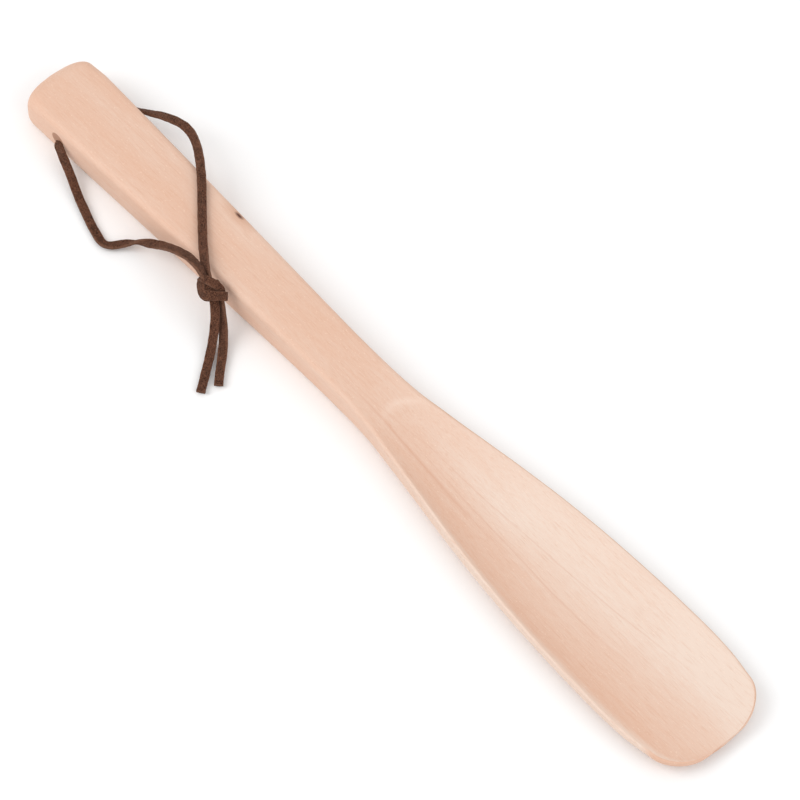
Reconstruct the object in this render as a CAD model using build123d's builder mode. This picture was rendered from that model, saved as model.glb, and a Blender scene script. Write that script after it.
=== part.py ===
"""Long wooden shoehorn with a hanging lace, lying on its back with the scoop facing up.

The horn is one piece of wood: a flat bar handle, a narrow neck and a wide scooped blade. A flat suede
lace runs through a hole drilled across the handle and is knotted into a loop with two loose tails.

Frame, in millimetres: +X runs from the handle's end to the tip, +Y across, +Z up. The origin is under
the middle of the horn, on the surface that it lies on.
"""
from build123d import *
from math import cos, radians, sin, sqrt, tan
import os

# Driving dimensions of the horn.
LENGTH = 380
HANDLE_EDGE_RADIUS = 3.2   # long edges of the handle
HANDLE_END_REACH = 7.5     # how far along the handle the rounding of its end reaches
HANDLE_END_INSET = 12      # how far it draws in each side at the very end
HANDLE_END_DROP = 7.5      # how far it brings down the front
FOOT_SHARE = 0.25          # share of that drop by which it raises the foot of the side wall
BACK_SHARE = 0.75          # and the back
TIP_REACH = 12             # how far along the blade the rounding of the tip reaches
TIP_INSET = 15.5           # how far it draws in each side at the very end
TIP_SINK = 0.95            # share of the scoop's depth by which the rim sinks there
RIM_RADIUS = 0.9           # rounding of the blade's rim
PLANED_OFF = 0.4           # the loft's back runs this far below the flat face that is planed on it

# Driving dimensions of the lace and of its hole.
HOLE_DIAMETER = 6
HOLE_FROM_END = 24
HOLE_HEIGHT = 9.5
HOLE_MOUTH = 12.4          # where the straight stretch in the hole ends, each side of the middle
LACE_DIAMETER = 2.2        # round section that stands for the flat strip
KNOT_SIZE = (8.4, 8, 9)    # thickness, width, and length from the legs to the tails
KNOT_TURN = (-19, -48, 0)  # lines its length up with the legs and the tails
KNOT_EDGE = 3
BEND = 0.45                # share of the shorter run that an arc's tangent takes

# Stations along the horn, at a distance from the handle's end: half the width, height of the rim,
# height of the foot of the side wall, height of the surface in the middle of the front, height of the
# middle of the back, half the width of the flat on the back, and the rounding of the front edges.
HANDLE_START = (HANDLE_END_REACH, 15.5, 17.6, 5.4, 17.9, -PLANED_OFF, 12.3, HANDLE_EDGE_RADIUS)
MIDDLE_STATIONS = [
    (30, 15.0, 17.6, 5.4, 17.9, -PLANED_OFF, 11.9, HANDLE_EDGE_RADIUS),
    (60, 14.1, 17.6, 5.3, 17.9, -PLANED_OFF, 11.0, HANDLE_EDGE_RADIUS),
    (90, 13.2, 17.5, 5.1, 17.8, -PLANED_OFF, 10.2, HANDLE_EDGE_RADIUS),
    (120, 12.4, 17.0, 5.0, 17.3, -PLANED_OFF, 9.5, HANDLE_EDGE_RADIUS),
    (150, 11.6, 16.1, 5.0, 16.3, -PLANED_OFF, 8.8, 2.9),
    (175, 11.3, 15.0, 5.0, 14.9, -PLANED_OFF, 8.4, 2.5),
    (195, 11.8, 13.9, 5.0, 13.3, -PLANED_OFF, 8.2, 1.9),
    (215, 14.2, 12.9, 5.3, 10.4, -PLANED_OFF, 8.4, 1.3),
    (235, 17.2, 12.4, 5.6, 7.8, -PLANED_OFF, 8.7, RIM_RADIUS),
    (255, 20.3, 11.9, 6.1, 6.2, -PLANED_OFF, 8.9, RIM_RADIUS),
    (280, 23.4, 11.1, 6.5, 4.8, -PLANED_OFF, 9.0, RIM_RADIUS),
    (305, 25.3, 10.3, 6.3, 4.1, -0.2, 9.0, RIM_RADIUS),
    (330, 26.2, 9.6, 5.8, 3.9, 0.5, 9.0, RIM_RADIUS),
    (350, 26.2, 8.9, 5.7, 4.2, 1.4, 8.8, RIM_RADIUS),
]
TIP_START = (LENGTH - TIP_REACH, 24.1, 8.2, 5.9, 4.7, 2.6, 8.2, RIM_RADIUS)
TIP_TAPER = 0.15           # how fast the half width still shrinks along the tip
END_STEPS = [radians(15 * step) for step in range(7)]

# Route of the lace's centreline, as (distance from the handle's end, across, height).
NEAR_LEG = [
    (24, -HOLE_MOUTH, HOLE_HEIGHT), (24, -15.6, HOLE_HEIGHT), (27.2, -16.9, 8.6), (31.0, -18.0, 7.2),
    (38, -20.2, 4.4), (45, -22.9, 2.5), (54, -25.9, 1.6), (62, -28.3, 1.4), (67.5, -29.6, 1.5),
    (70.6, -28.4, 1.6), (72.6, -25.4, 1.9), (75.6, -21.4, 2.9), (79.6, -18.9, 5.2),
    (85.2, -17.2, 9.2), (91.4, -16.4, 13.8), (97.6, -16.5, 18.0), (104.0, -16.9, 20.8),
    (109.6, -17.9, 21.8), (113.8, -18.5, 20.8), (116.4, -18.7, 18.8),
]
FAR_LEG = [
    (24, HOLE_MOUTH, HOLE_HEIGHT), (24, 15.6, HOLE_HEIGHT), (27.2, 17.0, 9.2), (31.4, 17.6, 9.6),
    (37, 18.4, 11.4), (43.5, 20.2, 13.9), (50, 21.8, 15.9), (55, 22.3, 17.1), (59.4, 21.9, 17.9),
    (64.0, 20.6, 18.6), (69.8, 17.8, 19.1), (78.0, 12.2, 19.3), (88.4, 3.6, 19.3),
    (99.6, -5.1, 19.3), (107.6, -11.0, 19.5), (112.8, -14.4, 19.7), (115.8, -15.9, 18.4),
]
KNOT_CENTRE = (119.2, -18.0, 16.6)
TAIL_A = [
    (121.4, -18.8, 14.6), (123.4, -20.0, 12.6), (125.4, -21.6, 10.0), (127.4, -23.6, 6.9),
    (129.6, -26.3, 4.2), (132.2, -29.6, 2.2), (135.6, -34.0, 1.4), (139.6, -39.2, 1.3), (143.7, -44.4, 1.4),
]
TAIL_B = [
    (122.9, -16.2, 14.4), (124.8, -17.2, 12.6), (127.0, -18.6, 10.0), (129.4, -20.3, 7.0),
    (131.8, -22.5, 4.5), (134.4, -24.9, 2.6), (137.4, -28.0, 1.6), (141.6, -32.6, 1.3), (146.0, -36.8, 1.4),
]


def handle_end_stations():
    """Sections from the handle's end inwards, with the sides, front and back drawn in to round it."""
    _, width, rim, foot, front, back, flat, edge = HANDLE_START
    stations = []
    for angle in END_STEPS:
        from_end = HANDLE_END_REACH * (1 - cos(angle))
        rounding = 1 - sin(angle)
        drop = HANDLE_END_DROP * rounding
        narrowed = 1 - HANDLE_END_INSET * rounding / width
        stations.append((
            from_end, width * narrowed, rim - drop, foot + drop * FOOT_SHARE, front - drop,
            back + drop * BACK_SHARE, flat * narrowed, edge * narrowed,
        ))
    return stations


def tip_stations():
    """Sections from the start of the tip's rounding to its end, drawn in along round corners."""
    start, width, rim, foot, front, back, flat, edge = TIP_START
    stations = []
    for angle in END_STEPS:
        along = TIP_REACH * sin(angle)
        narrowed = 1 - (TIP_INSET * (1 - cos(angle)) + TIP_TAPER * along) / width
        sink = (rim - front) * TIP_SINK * (1 - narrowed**2)
        stations.append((
            start + along, width * narrowed, rim - sink, foot - sink, front, back, flat * narrowed, edge,
        ))
    return stations


def cord_path_radii(points):
    """Radius of the arc at each corner of a route: 0.45 of the shorter run over the tangent of half the turn."""
    radii = []
    for before, corner, after in zip(points, points[1:], points[2:]):
        run_in = Vector(*corner) - Vector(*before)
        run_out = Vector(*after) - Vector(*corner)
        half_turn = radians(run_in.get_angle(run_out)) / 2
        radii.append(BEND * min(run_in.length, run_out.length) / tan(half_turn))
    return radii


def placed(route):
    """A route measured from the handle's end, moved into the part's frame."""
    return [(along - LENGTH / 2, across, height) for along, across, height in route]


# Horn: sections of eight edges, lofted from the handle's end to the tip. Each has a flat on the back,
# two back corners, two side walls, two rounded rims and one front curve, crowned or scooped.
with BuildPart() as horn:
    for stations in (handle_end_stations(), [HANDLE_START] + MIDDLE_STATIONS + [TIP_START], tip_stations()):
        for along, width, rim, foot, front, back, flat, edge in stations:
            inside = width - edge
            curve = rim + (front - rim) * 4 / 3
            corner = (flat + 2 * width) / 3
            with BuildSketch(Plane.YZ.offset(along - LENGTH / 2)):
                with BuildLine():
                    Line((-flat, back), (flat, back))
                    Bezier((flat, back), (corner, back), (width, foot))
                    Line((width, foot), (width, rim - edge))
                    Bezier((width, rim - edge), (width, rim), (inside, rim))
                    Bezier((inside, rim), (inside / 2, curve), (-inside / 2, curve), (-inside, rim))
                    Bezier((-inside, rim), (-width, rim), (-width, rim - edge))
                    Line((-width, rim - edge), (-width, foot))
                    Bezier((-width, foot), (-corner, back), (-flat, back))
                make_face()
        loft()
    split(bisect_by=Plane.XY, keep=Keep.TOP)
    with Locations(Location((HOLE_FROM_END - LENGTH / 2, 0, HOLE_HEIGHT), (90, 0, 0))):
        Hole(HOLE_DIAMETER / 2)
horn.part.label = "horn"

# Lace: the straight stretch in the hole, the two legs of the loop and the two loose tails.
with BuildPart() as lace_in_hole:
    with BuildSketch(Plane.XZ.offset(-HOLE_MOUTH)):
        with Locations((HOLE_FROM_END - LENGTH / 2, HOLE_HEIGHT)):
            Circle(LACE_DIAMETER / 2)
    extrude(amount=2 * HOLE_MOUTH)
lace_in_hole.part.label = "lace_in_hole"


def lace_stretch(name, route):
    """A stretch of lace swept along straight runs joined by arcs, compared with its section times its length."""
    points = placed(route)
    radii = cord_path_radii(points)
    with BuildPart() as stretch:
        with BuildLine() as path:
            FilletPolyline(*points, radius=radii)
        with BuildSketch(Plane(origin=path.wire() @ 0, z_dir=path.wire() % 0)):
            Circle(LACE_DIAMETER / 2)
        sweep()
    section = Circle(LACE_DIAMETER / 2, mode=Mode.PRIVATE).area
    share = stretch.part.volume / (section * path.wire().length)
    print(name, "length", round(path.wire().length, 1), "volume over section times length", round(share, 4))
    print(name, "bend radii", [round(radius, 1) for radius in radii])
    stretch.part.label = name
    return stretch.part


near_leg = lace_stretch("lace_near_leg", NEAR_LEG)
far_leg = lace_stretch("lace_far_leg", FAR_LEG)
tail_a = lace_stretch("lace_tail_a", TAIL_A)
tail_b = lace_stretch("lace_tail_b", TAIL_B)

# Knot: the outer shape of an overhand knot tied with both strands together.
with BuildPart() as lace_knot:
    with Locations(Location(placed([KNOT_CENTRE])[0], KNOT_TURN)):
        Box(*KNOT_SIZE)
    fillet(lace_knot.edges(), radius=KNOT_EDGE)
lace_knot.part.label = "lace_knot"

os.makedirs("parts", exist_ok=True)
for piece in (horn.part, lace_in_hole.part, near_leg, far_leg, lace_knot.part, tail_a, tail_b):
    export_step(piece, f"parts/{piece.label}.step")
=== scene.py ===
from math import cos, pi, radians, sin

import bmesh
import bpy
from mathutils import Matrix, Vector


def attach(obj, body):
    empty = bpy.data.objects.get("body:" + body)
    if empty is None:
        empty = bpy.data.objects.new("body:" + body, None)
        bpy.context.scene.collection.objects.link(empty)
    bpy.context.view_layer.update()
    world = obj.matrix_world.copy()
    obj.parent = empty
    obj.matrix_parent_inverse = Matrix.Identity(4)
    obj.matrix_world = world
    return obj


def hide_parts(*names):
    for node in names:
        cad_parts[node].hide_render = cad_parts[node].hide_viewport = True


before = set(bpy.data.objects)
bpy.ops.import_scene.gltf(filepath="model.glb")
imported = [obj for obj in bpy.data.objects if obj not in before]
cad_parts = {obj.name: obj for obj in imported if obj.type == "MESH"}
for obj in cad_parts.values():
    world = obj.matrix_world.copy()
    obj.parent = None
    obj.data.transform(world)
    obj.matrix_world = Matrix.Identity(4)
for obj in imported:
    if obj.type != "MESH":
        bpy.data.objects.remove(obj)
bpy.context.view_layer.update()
scene = bpy.context.scene

# Camera: above the horn's near side, with the handle at the upper left and the tip at the lower right.
VIEW_ELEVATION = radians(58)
VIEW_TURN = radians(48.87)      # from the picture's right to the horn's own length
VIEW_DISTANCE = 1.6925
FIELD_OF_VIEW = radians(10)
VIEW_SHIFT = (0.0345, -0.0048)
HALF_THICKNESS = 0.008

to_right = Vector((cos(VIEW_TURN), sin(VIEW_TURN), 0))
away = Vector((-sin(VIEW_TURN), cos(VIEW_TURN), 0))
into_picture = away * cos(VIEW_ELEVATION) - Vector((0, 0, sin(VIEW_ELEVATION)))
camera = bpy.data.objects.new("camera", bpy.data.cameras.new("camera"))
camera.data.angle = FIELD_OF_VIEW
camera.data.shift_x, camera.data.shift_y = VIEW_SHIFT
camera.location = Vector((0, 0, HALF_THICKNESS)) - into_picture * VIEW_DISTANCE
camera.rotation_euler = into_picture.to_track_quat("-Z", "Y").to_euler()
scene.collection.objects.link(camera)
scene.camera = camera

# Lace: a flat strip of brown suede, cut from a hide. It passes through the handle's hole, and its two
# legs meet in a knot beyond which the two cut ends hang free.
LACE_WIDTH = 0.0035
LACE_THICKNESS = 0.0015
LACE_EDGE_RADIUS = 0.0004
LACE_EDGE_POINTS = 3
LACE_STEP = 0.0005
LACE_UNEVENNESS = 0.0005
BELOW_EVERYTHING = (0.0, 0.0, -100.0)   # a strip that faces away from here lies flat
NEAR_MOUTH, FAR_MOUTH = (-0.166, -0.0152, 0.0095), (-0.166, 0.0152, 0.0095)
ROUTE_STEPS = 12                # line points for each control point of a route
HALF_LENGTH = 0.190             # of the horn, from its middle to the handle's end
MILLIMETRE = 0.001


class Value:
    """A socket of a node tree. Arithmetic on it adds Math nodes to its tree."""

    def __init__(self, socket):
        self.socket = socket

    def math(self, operation, *others):
        return node(self.socket.id_data, "ShaderNodeMath", {"operation": operation}, [self, *others])

    def __add__(self, other):
        return self.math("ADD", other)

    def __mul__(self, other):
        return self.math("MULTIPLY", other)

    def __sub__(self, other):
        return self.math("SUBTRACT", other)

    def __truediv__(self, other):
        return self.math("DIVIDE", other)

    def __pow__(self, other):
        return self.math("POWER", other)

    def __rsub__(self, other):
        return self * -1 + other

    __radd__ = __add__
    __rmul__ = __mul__

    def within(self, low, high):
        """How far the value is from low to high, held between 0 and 1."""
        inputs = {"Value": self, "From Min": low, "From Max": high}
        return node(self.socket.id_data, "ShaderNodeMapRange", {}, inputs)


def node(tree, kind, settings, inputs, output=0):
    """Adds a node, sets its settings and then its sockets, and returns one of its outputs."""
    added = tree.nodes.new(kind)
    for name, setting in settings.items():
        if name == "points":
            curve = added.mapping.curves[0]
            while len(curve.points) < len(setting):
                curve.points.new(0.5, 0.5)
            for point, place in zip(curve.points, setting):
                point.location = place
            added.mapping.use_clip = False
            added.mapping.update()
        else:
            setattr(added, name, setting)
    for key, value in inputs.items() if isinstance(inputs, dict) else enumerate(inputs):
        if isinstance(value, Value):
            tree.links.new(value.socket, added.inputs[key])
        else:
            added.inputs[key].default_value = value
    return Value(added.outputs[output])


def new_tree(name, sizes):
    """A Geometry Nodes tree that takes a geometry and named sizes, and its sockets by name."""
    tree = bpy.data.node_groups.new(name, "GeometryNodeTree")
    tree.interface.new_socket("Geometry", in_out="INPUT", socket_type="NodeSocketGeometry")
    tree.interface.new_socket("Geometry", in_out="OUTPUT", socket_type="NodeSocketGeometry")
    for size_name, size in sizes.items():
        kind = {int: "NodeSocketInt", float: "NodeSocketFloat"}.get(type(size), "NodeSocketVector")
        tree.interface.new_socket(size_name, in_out="INPUT", socket_type=kind)
    entry = tree.nodes.new("NodeGroupInput")
    return tree, {socket.name: Value(socket) for socket in entry.outputs if socket.name}


def finish_tree(tree, shape, material):
    """Ends a tree: instances made real, the material set, and the shape passed on."""
    real = node(tree, "GeometryNodeRealizeInstances", {}, [shape])
    painted = node(tree, "GeometryNodeSetMaterial", {}, {"Geometry": real, "Material": material})
    tree.links.new(painted.socket, tree.nodes.new("NodeGroupOutput").inputs[0])


def grown(name, source, tree, sizes):
    """The mesh that a tree grows from a source object, as a plain object with no modifier."""
    modifier = source.modifiers.new(name, "NODES")
    modifier.node_group = tree
    for item in tree.interface.items_tree:
        if item.in_out == "INPUT" and item.name in sizes:
            modifier[item.identifier] = sizes[item.name]
    depsgraph = bpy.context.evaluated_depsgraph_get()
    mesh = bpy.data.meshes.new_from_object(source.evaluated_get(depsgraph), depsgraph=depsgraph)
    bpy.data.objects.remove(source)
    mesh.name = name
    made = bpy.data.objects.new(name, mesh)
    scene.collection.objects.link(made)
    return made


def suede_material():
    """Brown suede: a napped, mottled surface, darker where the nap lies down, with a painted highlight along the
    cut edges.
    """
    material = bpy.data.materials.new("brown_suede")
    material.use_nodes = True
    tree = material.node_tree
    shader = tree.nodes["Principled BSDF"]
    place = node(tree, "ShaderNodeTexCoord", {}, {}, "Object")
    nap = node(tree, "ShaderNodeTexNoise", {}, {"Vector": place, "Scale": 2600.0, "Detail": 3.0})
    patches = node(tree, "ShaderNodeTexNoise", {}, {"Vector": place, "Scale": 420.0, "Detail": 2.0})
    cut = node(tree, "ShaderNodeAttribute", {"attribute_name": "cut"}, {}, "Fac")
    tone = (nap * 0.78 + patches * 0.22).within(0.37, 0.63)
    dark, light, edge_highlight = (0.028, 0.009, 0.005, 1), (0.175, 0.076, 0.045, 1), (0.22, 0.115, 0.075, 1)
    colour = node(tree, "ShaderNodeMix", {"data_type": "RGBA"}, {0: tone, 6: dark, 7: light}, 2)
    # Painted highlight: the strip's cut edges are mixed towards a paler brown, as if they catch the light.
    colour = node(tree, "ShaderNodeMix", {"data_type": "RGBA"}, {0: cut * 0.4, 6: colour, 7: edge_highlight}, 2)
    tree.links.new(colour.socket, shader.inputs["Base Color"])
    height = nap * 0.7 + patches * 0.5
    bump = node(tree, "ShaderNodeBump", {}, {"Height": height, "Strength": 0.7, "Distance": 0.0005})
    tree.links.new(bump.socket, shader.inputs["Normal"])
    shader.inputs["Roughness"].default_value = 0.95
    shader.inputs["Specular IOR Level"].default_value = 0.12
    shader.inputs["Sheen Weight"].default_value = 0.12
    shader.inputs["Sheen Tint"].default_value = (0.75, 0.5, 0.38, 1)
    return material


def strip_tree(sizes, material):
    """A flat strip along a curve. Its broad side faces away from a point, turned by the curve's tilt,
    and it closes at both ends with a square cut."""
    tree, size = new_tree("suede_strip", sizes)
    resampling = {"Curve": size["Geometry"], "Length": size["Step"]}
    line = node(tree, "GeometryNodeResampleCurve", {"mode": "LENGTH"}, resampling)
    spot = node(tree, "GeometryNodeInputPosition", {}, {})
    tangent = node(tree, "GeometryNodeInputTangent", {}, {})
    tilt = node(tree, "GeometryNodeInputCurveTilt", {}, {})

    def vector(operation, one, other):
        return node(tree, "ShaderNodeVectorMath", {"operation": operation}, [one, other])

    outward = vector("SUBTRACT", spot, size["Faces away from"])
    across = vector("CROSS_PRODUCT", tangent, outward)
    turned = node(tree, "ShaderNodeVectorRotate", {}, {"Vector": across, "Axis": tangent, "Angle": tilt})
    named = {"Geometry": line, "Name": "sideways", "Value": turned}
    stored_as = {"data_type": "FLOAT_VECTOR", "domain": "POINT"}
    line = node(tree, "GeometryNodeStoreNamedAttribute", stored_as, named)
    line = node(tree, "GeometryNodeSetCurveTilt", {}, {"Curve": line, "Tilt": 0.0})
    read_as = {"data_type": "FLOAT_VECTOR"}
    sideways = node(tree, "GeometryNodeInputNamedAttribute", read_as, {"Name": "sideways"})
    line = node(tree, "GeometryNodeSetCurveNormal", {"mode": "FREE"}, {"Curve": line, "Normal": sideways})
    section = {"Width": size["Width"], "Height": size["Thickness"]}
    outline = node(tree, "GeometryNodeCurvePrimitiveQuadrilateral", {}, section)
    resampling = {"Curve": outline, "Length": size["Step"]}
    outline = node(tree, "GeometryNodeResampleCurve", {"mode": "LENGTH"}, resampling)
    rounding = {
        "Curve": outline, "Count": LACE_EDGE_POINTS, "Radius": size["Edge radius"], "Limit Radius": True,
    }
    outline = node(tree, "GeometryNodeFilletCurve", {"mode": "POLY"}, rounding)
    # The share 'cut' marks the strip's cut edges, where the suede paints its highlight.
    reach = node(tree, "ShaderNodeSeparateXYZ", {}, [spot], "X").math("ABSOLUTE") / size["Width"]
    named = {"Geometry": outline, "Name": "cut", "Value": reach.within(0.44, 0.5)}
    outline = node(tree, "GeometryNodeStoreNamedAttribute", {"data_type": "FLOAT", "domain": "POINT"}, named)
    swept = {"Curve": line, "Profile Curve": outline, "Fill Caps": True}
    strip = node(tree, "GeometryNodeCurveToMesh", {}, swept)
    wobble = node(tree, "ShaderNodeTexNoise", {}, {"Scale": 260.0, "Detail": 2.0}) - 0.5
    normal = node(tree, "GeometryNodeInputNormal", {}, {})
    pushing = {"Vector": normal, "Scale": wobble * size["Unevenness"]}
    push = node(tree, "ShaderNodeVectorMath", {"operation": "SCALE"}, pushing)
    strip = node(tree, "GeometryNodeSetPosition", {}, {"Geometry": strip, "Offset": push})
    strip = node(tree, "GeometryNodeSetShadeSmooth", {}, {"Geometry": strip, "Shade Smooth": True})
    finish_tree(tree, strip, material)
    return tree


strip_sizes = {
    "Width": LACE_WIDTH, "Thickness": LACE_THICKNESS, "Edge radius": LACE_EDGE_RADIUS, "Step": LACE_STEP,
    "Unevenness": LACE_UNEVENNESS, "Faces away from": BELOW_EVERYTHING,
}
suede = suede_material()
suede_strip = strip_tree(strip_sizes, suede)


def routed(name, points, closed=False):
    """A NURBS line through given control points: x, y, z in metres and a tilt in degrees."""
    data = bpy.data.curves.new(name, "CURVE")
    data.dimensions = "3D"
    data.resolution_u = ROUTE_STEPS
    spline = data.splines.new("NURBS")
    spline.points.add(len(points) - 1)
    for point, (x, y, z, tilt) in zip(spline.points, points):
        point.co = (x, y, z, 1)
        point.tilt = radians(tilt)
    spline.use_cyclic_u = closed
    spline.order_u = 3
    spline.use_endpoint_u = not closed
    line = bpy.data.objects.new(name, data)
    scene.collection.objects.link(line)
    return line


def walked(line):
    """The points that a line passes through."""
    depsgraph = bpy.context.evaluated_depsgraph_get()
    mesh = bpy.data.meshes.new_from_object(line.evaluated_get(depsgraph), depsgraph=depsgraph)
    points = [tuple(vertex.co) for vertex in mesh.vertices]
    bpy.data.meshes.remove(mesh)
    return points


# The knot: both legs tied together in one overhand knot and pulled tight. A band wraps across its
# lower front, one lobe runs down its left side and one over its top to the right. Seen from its front.
KNOT_CENTRE = Vector((-0.0708, -0.0180, 0.0166))
KNOT_RIGHT, KNOT_FRONT = to_right, -into_picture
KNOT_UP = KNOT_FRONT.cross(KNOT_RIGHT)
KNOT_CORE = ((0.2, 3.0), (-0.2, 3.2), (-0.3, 2.0))   # centre and radius right, up and to the front
CORE_SUBDIVISIONS = 4
# Each wrap: its points in millimetres right, up and to the front of the knot's centre with a tilt in
# degrees, the point that its broad side faces away from, its width, and whether it closes on itself.
KNOT_WRAPS = [
    # lobe down the left side, curling under at the bottom
    ([(-2.0, 4.4, -1.2, 0), (-3.4, 4.0, 0.6, 0), (-3.9, 2.6, 1.7, 0), (-3.7, 0.8, 2.2, 0), (-3.5, -1.0, 1.7, 0),
      (-2.8, -2.5, 0.7, 0), (-1.6, -3.4, -0.6, 0), (0.2, -3.5, -1.8, 0), (2.0, -2.8, -2.6, 0)],
     (-0.9, 0.4, -1.4), 3.5, False),
    # lobe over the top, from the upper left to the right side
    ([(-4.0, 4.4, -1.0, 0), (-3.3, 4.2, 1.0, 0), (-1.9, 3.7, 2.7, 0), (-0.2, 2.9, 3.6, 0), (1.4, 2.0, 3.5, 0),
      (2.9, 0.9, 2.7, 0), (3.9, -0.5, 1.1, 0), (4.1, -1.9, -0.4, 0), (3.3, -2.9, -1.9, 0), (1.6, -3.1, -2.7, 0)],
     (0.2, 0.2, -1.4), 3.3, False),
    # strand between them, coming out from under the upper lobe
    ([(-2.6, 2.6, -0.4, 0), (-2.0, 1.6, 1.6, 0), (-0.8, 0.7, 2.5, 0), (0.8, 0.2, 2.6, 0), (2.4, -0.6, 1.7, 0),
      (3.4, -1.8, -0.2, 0)],
     (0.0, 0.0, -3.0), 3.2, False),
    # band round the lower half
    ([(5.8, -2.5, 0.9, 0), (4.7, -2.5, 3.1, 0), (1.9, -2.4, 4.1, 0), (-0.9, -2.2, 4.0, 0), (-3.0, -1.9, 2.7, 0),
      (-2.2, -2.0, -1.4, 0), (1.2, -2.3, -3.0, 0), (4.6, -2.5, -2.0, 0)],
     (1.7, -2.3, 0.0), 3.5, True),
    # strand across the back
    ([(2.6, 2.4, 0.4, 0), (2.9, 1.6, -1.4, 0), (1.6, 0.6, -2.5, 0), (-0.4, -0.4, -2.8, 0), (-2.4, -1.0, -2.2, 0),
      (-3.8, -1.4, -0.8, 0), (-4.0, -1.5, 0.6, 0)],
     (0.0, 0.0, 0.0), 3.4, False),
]


def on_knot(right, up, front):
    """A place that is given in millimetres from the knot's centre."""
    return KNOT_CENTRE + (KNOT_RIGHT * right + KNOT_UP * up + KNOT_FRONT * front) * MILLIMETRE


knot_mesh = bmesh.new()
for wrap_points, centre, width, closed in KNOT_WRAPS:
    line = routed("wrap", [(*on_knot(*point[:3]), point[3]) for point in wrap_points], closed)
    wrap_sizes = {**strip_sizes, "Width": width / 1000, "Faces away from": tuple(on_knot(*centre))}
    wrap = grown("wrap", line, suede_strip, wrap_sizes)
    knot_mesh.from_mesh(wrap.data)
    bpy.data.objects.remove(wrap)
core = bmesh.ops.create_icosphere(knot_mesh, subdivisions=CORE_SUBDIVISIONS, radius=1.0)
for vertex in core["verts"]:
    vertex.co = on_knot(*(middle + radius * share for (middle, radius), share in zip(KNOT_CORE, vertex.co)))
for face in knot_mesh.faces:
    face.smooth = True
knot = bpy.data.objects.new("lace_knot_tied", bpy.data.meshes.new("lace_knot_tied"))
knot_mesh.to_mesh(knot.data)
knot_mesh.free()
knot.data.materials.append(suede)
scene.collection.objects.link(knot)
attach(knot, "lace")
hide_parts("lace_knot")

# The lace's free runs. Each starts inside the hole or the knot and follows its own route; the tilt at
# a point turns the strip about its line, so that it leaves the hole on edge and twists as it hangs.
# Millimetres from the handle's end, across and up, and a tilt in degrees.
NEAR_ROUTE = [
    (24, 0, 8.2, 0), (24, -6, 8.2, 0), (24.2, -12.4, 8.2, 20), (24.6, -15.8, 8.6, 50), (27.2, -16.9, 8.2, 50),
    (31.0, -18.0, 6.9, 30), (38, -20.2, 4.2, 0), (45, -22.9, 2.3, 0), (54, -25.9, 1.5, 0), (62, -28.3, 1.3, 0),
    (67.8, -29.7, 1.5, -20), (70.6, -28.4, 1.7, -20), (72.8, -25.4, 2.0, 0), (75.6, -21.7, 2.9, -30),
    (79.6, -19.3, 5.0, -80), (85.2, -17.9, 9.0, -150), (91.6, -17.0, 13.6, -185), (98.0, -16.8, 17.9, -185),
    (104.6, -16.4, 20.6, -190), (110.4, -16.9, 21.6, -205), (114.4, -17.6, 20.6, -225),
    (116.8, -18.2, 18.6, -230),
]
FAR_ROUTE = [
    (24, 0, 8.2, 0), (24, 6, 8.2, 0), (24, 12.4, 8.2, -20), (24.4, 15.8, 7.8, -50), (27.4, 16.9, 6.8, -60),
    (31.6, 17.4, 7.2, -50), (37, 18.6, 10.0, -30), (43.5, 20.3, 13.4, -10), (50, 21.8, 15.6, 0),
    (55, 22.4, 17.0, 0),
    (59.6, 21.9, 17.9, 35), (64.2, 20.3, 18.6, 45), (69.8, 17.4, 19.2, 20), (78.0, 11.9, 19.2, 0),
    (88.4, 3.4, 19.2, 0), (99.4, -5.6, 19.3, 0), (107.2, -11.5, 19.8, 20), (112.2, -14.8, 19.9, 50),
    (115.4, -16.3, 18.4, 60),
]
TAIL_A_ROUTE = [
    (119.6, -18.0, 15.6, 0), (121.4, -18.8, 14.6, 0), (123.4, -20.0, 12.6, 0), (125.4, -21.6, 10.0, 0),
    (127.4, -23.6, 6.9, 0), (129.6, -26.3, 4.2, 0), (132.2, -29.6, 2.2, 0), (135.6, -34.0, 1.4, 0),
    (139.6, -39.2, 1.3, 0), (143.5, -44.2, 1.4, 0),
]
TAIL_B_ROUTE = [
    (121.0, -16.3, 14.4, 60), (122.7, -16.8, 13.2, 60), (124.6, -17.8, 11.4, 60), (126.8, -19.2, 8.8, 50),
    (129.2, -20.9, 6.0, 40), (131.6, -23.0, 4.1, 30), (134.2, -25.4, 2.6, 20), (137.2, -28.4, 1.7, 10),
    (141.2, -33.0, 1.4, 0), (145.6, -37.3, 1.4, 0),
]
LACE_RUNS = [
    ("lace_near_run", NEAR_ROUTE, ("lace_in_hole", "lace_near_leg"), NEAR_MOUTH, "knot"),
    ("lace_far_run", FAR_ROUTE, ("lace_far_leg",), FAR_MOUTH, "knot"),
    ("lace_tail_a_run", TAIL_A_ROUTE, ("lace_tail_a",), None, "bare"),
    ("lace_tail_b_run", TAIL_B_ROUTE, ("lace_tail_b",), None, "bare"),
]
for name, route, nodes, mouth, far_end in LACE_RUNS:
    in_frame = [
        (from_end / 1000 - HALF_LENGTH, y / 1000, z / 1000, tilt) for from_end, y, z, tilt in route
    ]
    line = routed(name, in_frame)
    path = walked(line)
    run = grown(name, line, suede_strip, strip_sizes)
    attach(run, "lace")
    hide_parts(*nodes)

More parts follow.
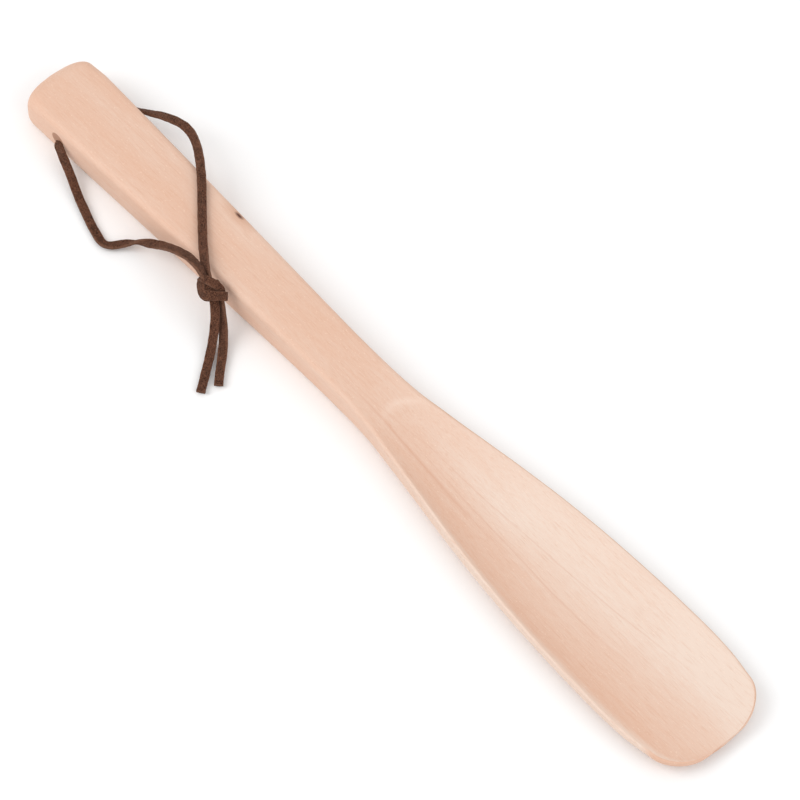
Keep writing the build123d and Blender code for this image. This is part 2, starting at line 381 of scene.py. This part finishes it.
# Horn: one piece of pale fine-grained hardwood. Handle, neck and blade are sawn from one board, the
# front is carved into a scoop and the back rounded, and the whole is sanded smooth and left matt.
LENGTH = 2 * HALF_LENGTH
HANDLE_END_REACH = 0.0075       # along the handle, and how far it brings down the front
HANDLE_END_INSET = 0.012
HANDLE_SOFTENING = 0.0045       # how much rounder the long edges get towards the end
FOOT_SHARE, BACK_SHARE = 0.25, 0.75   # shares of that drop by which the underside rises
TIP_REACH = 0.012
TIP_INSET = 0.0155
TIP_SINK = 0.95
TIP_EDGE_RADIUS = 0.0009
END_BULGE = 0.0005
HOLE_RADIUS = 0.003
HOLE_FROM_END = 0.024
HOLE_HEIGHT = 0.0095
DRILL_SIDES = 64
DRILL_LENGTH = 0.05
SMOOTH_BELOW = radians(35)      # the surface is shaded smooth across edges that bend less than this
MERGE_DISTANCE = 0.000002
SOFTENING_FADES = (0.002, 0.016)    # from the handle's end, where the softening of the edges fades out
SINK_STARTS = (0.367, 0.368)        # from the handle's end, where the rim starts to sink to the tip
SMALLEST_WALL = 0.0004
WIDEST_EDGE = 0.8                   # largest rounding of an edge, as a share of the half width
RINGS = 460
POINTS_ROUND = 128
# Shares of the rings at which the end face and the handle's rounding end, and the tip's and its face start.
FACE_ENDS, ROUNDING_ENDS, TIP_STARTS, TIP_FACE_STARTS = 0.03, 0.09, 0.92, 0.975
# Shares of the way round, from the middle of the back, at which flat, corner, wall and rim end.
FLAT_ENDS, CORNER_ENDS, WALL_ENDS, RIM_ENDS = 0.14, 0.36, 0.46, 0.60
LARGEST = 0.030                 # what a curve's value of 1 stands for
# Millimetres from the handle's end: half the width, height of the rim, height of the side wall's foot,
# height of the front's middle, height of the back's middle, half the back's flat, rounding of the rim.
STATIONS = [
    (0, 15.6, 17.6, 5.4, 17.9, -0.4, 12.4, 3.2), (8, 15.5, 17.6, 5.4, 17.9, -0.4, 12.3, 3.2),
    (30, 15.0, 17.6, 5.4, 17.9, -0.4, 11.9, 3.2), (60, 14.1, 17.6, 5.3, 17.9, -0.4, 11.0, 3.2),
    (90, 13.2, 17.5, 5.1, 17.8, -0.4, 10.2, 3.2), (120, 12.4, 17.0, 5.0, 17.3, -0.4, 9.5, 3.2),
    (150, 11.6, 16.1, 5.0, 16.3, -0.4, 8.8, 2.9), (175, 11.3, 15.0, 5.0, 14.9, -0.4, 8.4, 2.5),
    (195, 11.8, 13.9, 5.0, 13.3, -0.4, 8.2, 1.9), (215, 14.2, 12.9, 5.3, 10.4, -0.4, 8.4, 1.3),
    (235, 17.2, 12.4, 5.6, 7.8, -0.4, 8.7, 0.9), (255, 20.3, 11.9, 6.1, 6.2, -0.4, 8.9, 0.9),
    (280, 23.4, 11.1, 6.5, 4.8, -0.4, 9.0, 0.9), (305, 25.3, 10.3, 6.3, 4.1, -0.2, 9.0, 0.9),
    (330, 26.2, 9.6, 5.8, 3.9, 0.5, 9.0, 0.9), (350, 26.2, 8.9, 5.7, 4.2, 1.4, 8.8, 0.9),
    (368, 24.1, 8.2, 5.9, 4.7, 2.6, 8.2, 0.9), (380, 22.3, 8.2, 5.9, 4.7, 2.6, 8.2, 0.9),
]
# Year lines: strength, and where across, slant, width, start and end along the horn.
FAINTER_LINES = [
    (1.0, (-0.52, 2.3, 0.10, -0.016, 0.085)), (0.6, (0.0, 2.7, 0.025, 0.015, 0.175)),
    (0.7, (-0.2, 0.4, 0.035, 0.02, 0.15)), (0.4, (0.42, 0.3, 0.03, -0.175, -0.02)),
    (0.5, (-0.15, -0.8, 0.05, -0.12, -0.01)),
]
BRANCH_MARK = (-0.0892, 0.0112, 0.0172)


def wood_material():
    """Pale peach hardwood: long faint grain, fine open pores, a few darker year lines, one branch mark, and
    painted light and shade on the scoop, near wall, far rim, tip and hole.
    """
    material = bpy.data.materials.new("sanded_pale_wood")
    material.use_nodes = True
    tree = material.node_tree
    shader = tree.nodes["Principled BSDF"]
    place = node(tree, "ShaderNodeTexCoord", {}, {}, "Object")

    def pattern(kind, scale, inputs, output=0):
        stretched = node(tree, "ShaderNodeMapping", {}, {"Vector": place, "Scale": scale})
        return node(tree, kind, {}, {"Vector": stretched, **inputs}, output)

    x, y, z = (
        Value(node(tree, "ShaderNodeSeparateXYZ", {}, [place], name).socket) for name in ("X", "Y", "Z")
    )
    across = node(tree, "ShaderNodeAttribute", {"attribute_name": "across"}, {}, "Fac")
    rim = node(tree, "ShaderNodeAttribute", {"attribute_name": "rim"}, {}, "Fac")
    front = node(tree, "ShaderNodeAttribute", {"attribute_name": "front"}, {}, "Fac")

    broad = pattern("ShaderNodeTexNoise", (9, 60, 60), {"Scale": 1.0, "Detail": 3.0})
    streaks = pattern("ShaderNodeTexNoise", (26, 900, 900), {"Scale": 1.0, "Detail": 4.0, "Roughness": 0.6})
    fine = pattern("ShaderNodeTexNoise", (180, 3200, 3200), {"Scale": 1.0, "Detail": 3.0})
    pores = pattern("ShaderNodeTexNoise", (900, 3000, 3000), {"Scale": 1.0, "Detail": 2.0})
    wander = pattern("ShaderNodeTexNoise", (14, 14, 14), {"Scale": 1.0, "Detail": 2.0}) - 0.5

    def year_line(where, slant, width, start, end):
        """A thin dark line at a share of the half width, fading in and out along the horn."""
        away_from = (across + wander * 0.16 - where - (x - start) * slant).math("ABSOLUTE")
        return (1 - away_from.within(0.0, width)) ** 2 * x.within(start, start + 0.03) * (
            1 - x.within(end - 0.04, end)
        )

    lines = year_line(-0.50, 12.5, 0.05, -0.012, 0.045) * 0.8
    for strength, line in FAINTER_LINES:
        lines = lines + year_line(*line) * strength
    off_middle = y - 0.0005
    arch = 1 - (x - 0.010 - off_middle * off_middle * 60 + wander * 0.002).math("ABSOLUTE").within(0.0, 0.0028)
    arch = arch * y.within(-0.009, 0.002) * (1 - y.within(0.008, 0.013)) * front

    mark_x, mark_y, mark_z = (axis - place for axis, place in zip((x, y, z), BRANCH_MARK))
    mark_far = (mark_x * mark_x * 0.16 + mark_y * mark_y + mark_z * mark_z * 0.2).math("SQRT")
    mark_far = mark_far + (pores - 0.5) * 0.0004
    mark = 1 - mark_far.within(0.0003, 0.0011)
    halo = 1 - mark_far.within(0.0005, 0.0042)

    # The tone is deep along the handle. On the scoop it is painted shade and light: deep on the near side, which
    # faces away from the light, and pale on the far side, which faces it.
    wandering = across + wander * 0.3 + (x - 0.12) * 2.2
    scoop = x.within(-0.02, 0.07)
    scoop_shade_and_light = 0.75 - wandering.within(-0.75, 0.4) * 0.75
    # Painted light: the outer edge of the near side wall is made paler, where it faces the light from the left.
    near_wall_light = 1 - (across + wander * 0.05).within(-0.97, -0.86)
    # Painted shade: the tip's end and edges, off the front, are made deeper, where they turn away from the
    # light.
    tip_edge_shade = (1 - front) * x.within(0.172, 0.182)
    tone = (1 - scoop) * 0.85 + scoop * scoop_shade_and_light - scoop * near_wall_light * (1 - tip_edge_shade) * 0.7 + tip_edge_shade * 0.7
    tone = tone + (broad - 0.5) * 1.0 + (streaks - 0.5) * 0.5 + (fine - 0.5) * 0.6 + (pores - 0.5) * 0.6
    pale, deep = (0.77, 0.618, 0.522, 1), (0.70, 0.438, 0.316, 1)
    mixed = {0: tone.within(-0.1, 1.0), 6: pale, 7: deep}
    colour = node(tree, "ShaderNodeMix", {"data_type": "RGBA"}, mixed, 2)

    def tinted(share, tint):
        return node(tree, "ShaderNodeMix", {"data_type": "RGBA"}, {0: share, 6: colour, 7: tint}, 2)

    colour = tinted(pores.within(0.62, 0.74) * 0.45, (0.94, 0.78, 0.66, 1))
    colour = tinted(fine.within(0.56, 0.75) * 0.22, (0.52, 0.28, 0.17, 1))
    colour = tinted(lines * 0.5, (0.60, 0.32, 0.21, 1))
    colour = tinted(arch * 0.22, (0.92, 0.78, 0.68, 1))
    # Painted shade: a darker line along the middle of the far rim's rounding, from about halfway to the tip,
    # where it turns away from the light.
    colour = tinted(rim * y.within(0, 0.003) * 0.45, (0.56, 0.31, 0.18, 1))
    # Painted shade: inside the hole's outline the handle's sides are painted dark brown, standing in for the
    # shaded inside of the hole over the face that the cut leaves at the near mouth.
    hole_x, hole_z = x + (LENGTH / 2 - HOLE_FROM_END), z - HOLE_HEIGHT
    hole_shade_disc = 1 - (hole_x * hole_x + hole_z * hole_z).math("SQRT").within(HOLE_RADIUS, HOLE_RADIUS + 0.0004)
    colour = tinted(hole_shade_disc * (1 - z.within(0.016, 0.0165)) * 0.8, (0.30, 0.13, 0.07, 1))
    colour = tinted(halo * 0.5, (0.50, 0.24, 0.13, 1))
    colour = tinted(mark, (0.10, 0.035, 0.02, 1))
    tree.links.new(colour.socket, shader.inputs["Base Color"])
    roughness = 0.52 + streaks * 0.12
    tree.links.new(roughness.socket, shader.inputs["Roughness"])
    height = streaks * 0.4 + fine * 0.5 + pores * 0.5
    bump = node(tree, "ShaderNodeBump", {}, {"Height": height, "Strength": 0.16, "Distance": 0.0004})
    tree.links.new(bump.socket, shader.inputs["Normal"])
    shader.inputs["Specular IOR Level"].default_value = 0.35
    return material


def horn_tree(sizes, material):
    """Rings of points laid along the horn. Each ring is a flat back, two back corners, two side walls,
    two rounded rims and a crowned or scooped front, and the ends are closed by shrinking rings."""
    tree, size = new_tree("horn", sizes)
    grid_inputs = {
        "Size X": 1.0, "Size Y": 1.0, "Vertices X": size["Rings"], "Vertices Y": size["Points round"],
    }
    grid = node(tree, "GeometryNodeMeshGrid", {}, grid_inputs)
    spot = node(tree, "GeometryNodeInputPosition", {}, {})
    ring = node(tree, "ShaderNodeSeparateXYZ", {}, [spot], "X") + 0.5
    round_place = node(tree, "ShaderNodeSeparateXYZ", {}, [spot], "Y") * 2

    # Along the horn: end face, handle's rounded end, the long middle, rounded tip, end face.
    face_in, face_out = ring.within(0, FACE_ENDS), 1 - ring.within(TIP_FACE_STARTS, 1)
    handle_turn = ring.within(FACE_ENDS, ROUNDING_ENDS) * (pi / 2)
    middle = ring.within(ROUNDING_ENDS, TIP_STARTS)
    tip_turn = ring.within(TIP_STARTS, TIP_FACE_STARTS) * (pi / 2)
    from_end = (
        size["Handle end reach"] * (1 - handle_turn.math("COSINE"))
        + middle * (size["Length"] - size["Handle end reach"] - size["Tip reach"])
        + size["Tip reach"] * tip_turn.math("SINE")
    )
    share = from_end / size["Length"]

    def along_stations(column):
        points = [(station[0] / STATIONS[-1][0], station[column] / 1000 / LARGEST) for station in STATIONS]
        return node(tree, "ShaderNodeFloatCurve", {"points": points}, {"Value": share}) * LARGEST

    width, rim, foot, front, back, flat, edge = (along_stations(column) for column in range(1, 8))
    handle_rounding, tip_rounding = 1 - handle_turn.math("SINE"), 1 - tip_turn.math("COSINE")
    narrowed = 1 - (size["Handle end inset"] * handle_rounding + size["Tip inset"] * tip_rounding) / width
    width, flat = width * narrowed, flat * narrowed
    edge = edge + size["Handle softening"] * (1 - from_end.within(*SOFTENING_FADES))
    edge = edge.math("MINIMUM", width * WIDEST_EDGE)
    drop = size["Handle end reach"] * handle_rounding
    sink = (rim - front) * TIP_SINK * (1 - narrowed * narrowed) * from_end.within(*SINK_STARTS)
    into_tip = (size["Tip edge radius"] - (size["Length"] - from_end)).math("MAXIMUM", 0)
    tip_square = size["Tip edge radius"] * size["Tip edge radius"] - into_tip * into_tip
    tip_drop = size["Tip edge radius"] - tip_square.math("SQRT")
    rim, front = rim - drop - sink - tip_drop, front - drop - tip_drop
    foot, back = foot + drop * FOOT_SHARE - sink + tip_drop, back + drop * BACK_SHARE + tip_drop
    foot = foot.math("MINIMUM", rim - SMALLEST_WALL)
    edge = edge.math("MINIMUM", rim - foot)

    # Round the ring: each stretch adds what it covers, from the middle of the back to the front's middle.
    reach = 1 - round_place.math("ABSOLUTE")
    on_back, on_corner = reach.within(0, FLAT_ENDS), reach.within(FLAT_ENDS, CORNER_ENDS)
    on_wall, on_rim = reach.within(CORNER_ENDS, WALL_ENDS), reach.within(WALL_ENDS, RIM_ENDS)
    on_front = reach.within(RIM_ENDS, 1) * 0.5

    def bent(share_along, start, control, end):
        """What a curve with one control value has added since its start."""
        left = 1 - share_along
        return left * left * start + left * share_along * 2 * control + share_along * share_along * end - start

    inside = width - edge
    curve = rim + (front - rim) * (4 / 3)
    left = 1 - on_front
    front_y = inside * (left**3 + left * left * on_front * 1.5 - left * on_front * on_front * 1.5 - on_front**3)
    front_z = (curve - rim) * (left * on_front * 3)
    y = (
        flat * on_back
        + bent(on_corner, flat, (flat + width * 2) / 3, width)
        + bent(on_rim, width, width, inside)
        + front_y - inside
    )
    z = (
        back
        + bent(on_corner, back, back, foot)
        + on_wall * (rim - edge - foot)
        + bent(on_rim, rim - edge, rim, rim)
        + front_z
    )
    z = z.math("MAXIMUM", 0)
    face = face_in * face_out
    centre = (rim + back) / 2
    z = centre + (z - centre) * face
    side = round_place.math("SIGN")
    y = y * side * face
    x = (
        size["Length"] * -0.5
        + size["End bulge"] * face_in * face_in
        + from_end * (1 - size["End bulge"] * 2 / size["Length"])
        + size["End bulge"] * (1 - face_out * face_out)
    )
    where = node(tree, "ShaderNodeCombineXYZ", {}, [x, y, z])
    marks = {
        # 'rim' marks the middle of each rim's rounding from about halfway along; the wood paints shade along it
        # on the far side.
        "across": y / width,
        "front": reach.within(0.59, 0.61),
        "rim": (on_rim * (1 - on_rim) * 4) * share.within(0.5, 0.56),
    }
    shape = grid
    for name, mark in marks.items():
        stored = {"Geometry": shape, "Name": name, "Value": mark}
        stored_as = {"data_type": "FLOAT", "domain": "POINT"}
        shape = node(tree, "GeometryNodeStoreNamedAttribute", stored_as, stored)
    shape = node(tree, "GeometryNodeSetPosition", {}, {"Geometry": shape, "Position": where})
    shape = node(tree, "GeometryNodeMergeByDistance", {}, {"Geometry": shape, "Distance": MERGE_DISTANCE})

    # The hole for the lace, bored across the handle. Known fault: with the present stations this cut
    # fails. It leaves a face over the near mouth, no wall inside, and an open edge at the far mouth.
    bore = {"Vertices": DRILL_SIDES, "Radius": size["Hole radius"], "Depth": DRILL_LENGTH}
    drill = node(tree, "GeometryNodeMeshCylinder", {}, bore)
    hole_x = size["Hole from end"] - size["Length"] * 0.5
    hole_place = node(tree, "ShaderNodeCombineXYZ", {}, [hole_x, 0.0, size["Hole height"]])
    drilled = {"Geometry": drill, "Translation": hole_place, "Rotation": (pi / 2, 0, 0)}
    drill = node(tree, "GeometryNodeTransform", {}, drilled)
    shape = node(
        tree, "GeometryNodeMeshBoolean", {"operation": "DIFFERENCE"}, {"Mesh 1": shape, "Mesh 2": drill}
    )
    angle = node(tree, "GeometryNodeInputMeshEdgeAngle", {}, {})
    soft = angle.math("LESS_THAN", SMOOTH_BELOW)
    shape = node(
        tree, "GeometryNodeSetShadeSmooth", {"domain": "EDGE"}, {"Geometry": shape, "Shade Smooth": soft}
    )
    finish_tree(tree, shape, material)
    return tree


horn_sizes = {
    "Length": LENGTH, "Handle end reach": HANDLE_END_REACH, "Handle end inset": HANDLE_END_INSET,
    "Handle softening": HANDLE_SOFTENING, "Tip reach": TIP_REACH, "Tip inset": TIP_INSET,
    "Tip edge radius": TIP_EDGE_RADIUS, "End bulge": END_BULGE,
    "Hole radius": HOLE_RADIUS, "Hole from end": HOLE_FROM_END, "Hole height": HOLE_HEIGHT,
    "Rings": RINGS, "Points round": POINTS_ROUND + 1,
}
board = bpy.data.objects.new("board", bpy.data.meshes.new("board"))
scene.collection.objects.link(board)
horn = grown("shoehorn", board, horn_tree(horn_sizes, wood_material()), horn_sizes)
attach(horn, "horn")
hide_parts("horn")

# Floor and light: a plain pale floor, one large soft light from the left and one from the right.
FLOOR_COLOUR = (0.93, 0.93, 0.93, 1)
HALF_FLOOR = 4.0
FLOOR_GAP = 0.0002              # the floor lies this far below the horn's back
KEY_LIGHT = (1.6, 1.0, 9)       # distance and size in metres, power in watts
FILL_LIGHT = (1.8, 1.6, 9)
SURROUNDINGS = 0.82             # strength of the white light from all round
floor_material = bpy.data.materials.new("pale_floor")
floor_material.use_nodes = True
floor_material.node_tree.nodes["Principled BSDF"].inputs["Base Color"].default_value = FLOOR_COLOUR
floor_material.node_tree.nodes["Principled BSDF"].inputs["Roughness"].default_value = 0.9
floor_mesh = bpy.data.meshes.new("floor")
floor_mesh.from_pydata(
    [(-HALF_FLOOR, -HALF_FLOOR, 0), (HALF_FLOOR, -HALF_FLOOR, 0), (HALF_FLOOR, HALF_FLOOR, 0),
     (-HALF_FLOOR, HALF_FLOOR, 0)], [], [(0, 1, 2, 3)]
)
floor_mesh.materials.append(floor_material)
floor = bpy.data.objects.new("floor", floor_mesh)
scene.collection.objects.link(floor)
floor.location.z = -FLOOR_GAP


def soft_light(name, direction, distance, size, power):
    """A square area light that faces the middle of the horn."""
    light = bpy.data.objects.new(name, bpy.data.lights.new(name, "AREA"))
    light.data.size, light.data.energy = size, power
    light.location = direction.normalized() * distance
    light.rotation_euler = (-direction).to_track_quat("-Z", "Y").to_euler()
    scene.collection.objects.link(light)


soft_light("key_light", -to_right * 0.75 - away * 0.05 + Vector((0, 0, 0.75)), *KEY_LIGHT)
soft_light("fill_light", to_right * 0.7 - away * 0.65 + Vector((0, 0, 0.7)), *FILL_LIGHT)
world = bpy.data.worlds.new("studio")
world.use_nodes = True
world.node_tree.nodes["Background"].inputs["Color"].default_value = (1, 1, 1, 1)
world.node_tree.nodes["Background"].inputs["Strength"].default_value = SURROUNDINGS
scene.world = world
scene.view_settings.view_transform = "Standard"
